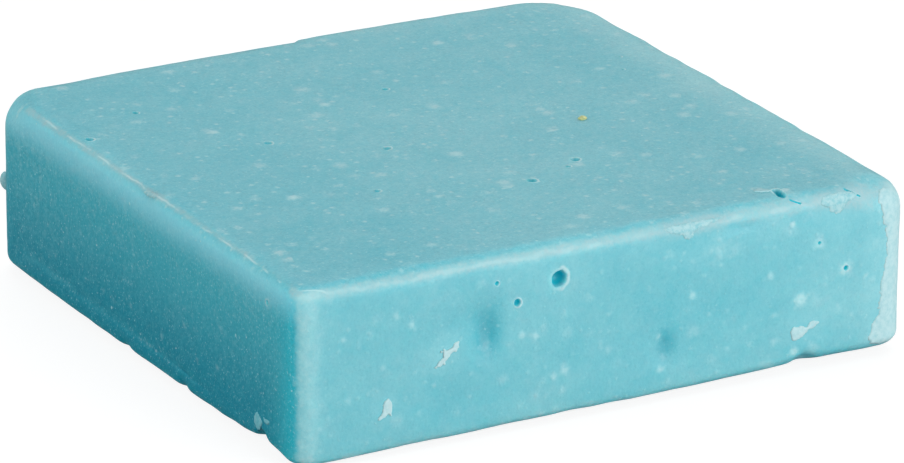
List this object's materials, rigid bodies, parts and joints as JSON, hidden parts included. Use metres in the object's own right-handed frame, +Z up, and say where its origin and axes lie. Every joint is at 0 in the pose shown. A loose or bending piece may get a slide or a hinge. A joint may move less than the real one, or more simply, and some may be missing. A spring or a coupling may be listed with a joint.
{
  "type": "clay bar",
  "caption": "Flat rounded block of soft detailing clay with opened air bubbles, dents and torn edges, a stuck grain of grit and scraps of its own clay.",
  "frame": {"origin": "middle of the flat base", "axes": "+X along the longer side face, whose front looks along -Y; +Z up through the bar's thickness"},
  "size_m": [0.0679, 0.0654, 0.0188],
  "materials": {
    "clay": "satin",
    "pale_clay": "matte",
    "grit": "matte"
  },
  "bodies": {
    "root": {"clay_block": "clay", "grit_grain": "grit", "lobed_scrap": "pale_clay", "long_shaving": "pale_clay", "torn_chip": "pale_clay", "crumbled_patch": "pale_clay", "folded_lip": "pale_clay", "pit_flake": "pale_clay", "ridge_chip": "pale_clay", "notch_crumb": "pale_clay", "notch_fleck": "pale_clay", "side_nodule": "pale_clay", "corner_skin": "pale_clay"}
  },
  "joints": []
}
